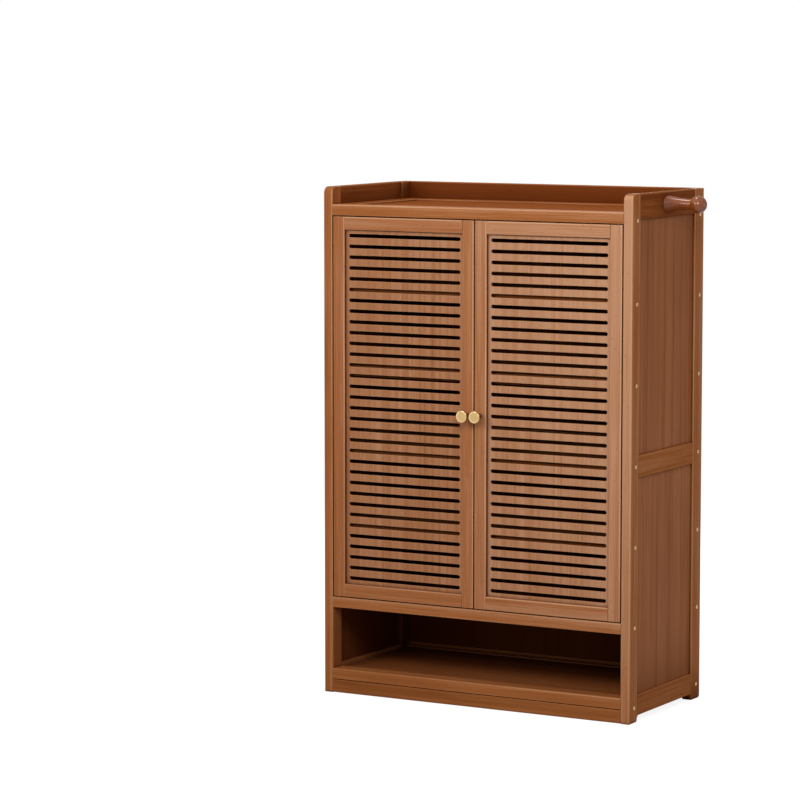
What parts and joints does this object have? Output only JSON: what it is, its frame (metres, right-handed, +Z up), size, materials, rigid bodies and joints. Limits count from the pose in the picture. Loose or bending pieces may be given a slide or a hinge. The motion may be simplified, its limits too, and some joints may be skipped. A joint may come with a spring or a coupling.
{
  "type": "shoe cabinet",
  "caption": "Tall bamboo shoe cabinet with framed panel sides, slotted inset doors on hidden pivots, inner shelves, an open lower cubby and a low gallery round the top.",
  "frame": {"origin": "on the floor, midway between the four feet", "axes": "+Z up, -Y towards the front with the doors, +X towards the side with the peg"},
  "size_m": [0.7848, 0.357, 1.046],
  "materials": {
    "bamboo_upright": "satin lacquer",
    "bamboo_rail": "satin lacquer",
    "bamboo_board": "satin lacquer",
    "bamboo_slotted": "satin lacquer",
    "bamboo_turned": "gloss lacquer",
    "brass_knob": "satin",
    "brass_bolt": "satin",
    "steel_fitting": "satin",
    "magnet": "plated",
    "nylon_bush": "matt"
  },
  "bodies": {
    "carcass": {"back_bottom_rail": "bamboo_rail", "back_lower_panel": "bamboo_board", "back_mid_rail": "bamboo_rail", "back_upper_panel": "bamboo_board", "bottom_back_rail": "bamboo_rail", "bottom_board": "bamboo_board", "bottom_front_rail": "bamboo_rail", "door_magnets": "magnet", "floor_back_rail": "bamboo_rail", "floor_board": "bamboo_board", "floor_front_rail": "bamboo_rail", "frame_bolts": "brass_bolt", "gallery_board": "bamboo_board", "hanging_peg": "bamboo_turned", "left_back_post": "bamboo_upright", "left_front_post": "bamboo_upright", "left_side_bottom_rail": "bamboo_rail", "left_side_lower_panel": "bamboo_board", "left_side_mid_rail": "bamboo_rail", "left_side_top_rail": "bamboo_rail", "left_side_upper_panel": "bamboo_board", "left_top_end_rail": "bamboo_rail", "pivot_bushes": "nylon_bush", "plinth": "bamboo_rail", "right_back_post": "bamboo_upright", "right_front_post": "bamboo_upright", "right_side_bottom_rail": "bamboo_rail", "right_side_lower_panel": "bamboo_board", "right_side_mid_rail": "bamboo_rail", "right_side_top_rail": "bamboo_rail", "right_side_upper_panel": "bamboo_board", "right_top_end_rail": "bamboo_rail", "shelf_1_board": "bamboo_board", "shelf_1_rails": "bamboo_rail", "shelf_2_board": "bamboo_board", "shelf_2_rails": "bamboo_rail", "shelf_3_board": "bamboo_board", "shelf_3_rails": "bamboo_rail", "shelf_4_board": "bamboo_board", "shelf_4_rails": "bamboo_rail", "top_back_rail": "bamboo_rail", "top_front_rail": "bamboo_rail", "top_panel": "bamboo_board"},
    "left_door": {"left_hinge_stile": "bamboo_upright", "left_meeting_stile": "bamboo_upright", "left_door_top_rail": "bamboo_rail", "left_door_bottom_rail": "bamboo_rail", "left_slotted_board": "bamboo_slotted", "left_knob": "brass_knob", "left_strike_plate": "steel_fitting", "left_pivot_pins": "steel_fitting"},
    "right_door": {"right_hinge_stile": "bamboo_upright", "right_meeting_stile": "bamboo_upright", "right_door_top_rail": "bamboo_rail", "right_door_bottom_rail": "bamboo_rail", "right_slotted_board": "bamboo_slotted", "right_knob": "brass_knob", "right_strike_plate": "steel_fitting", "right_pivot_pins": "steel_fitting"}
  },
  "joints": [
    {"name": "left_door_hinge", "type": "hinge", "parent": "carcass", "child": "left_door", "pos_m": [-0.319, -0.1585, 0.203], "axis": [0, 0, -1], "range_deg": [0, 110]},
    {"name": "right_door_hinge", "type": "hinge", "parent": "carcass", "child": "right_door", "pos_m": [0.319, -0.1585, 0.203], "axis": [0, 0, 1], "range_deg": [0, 110]}
  ]
}
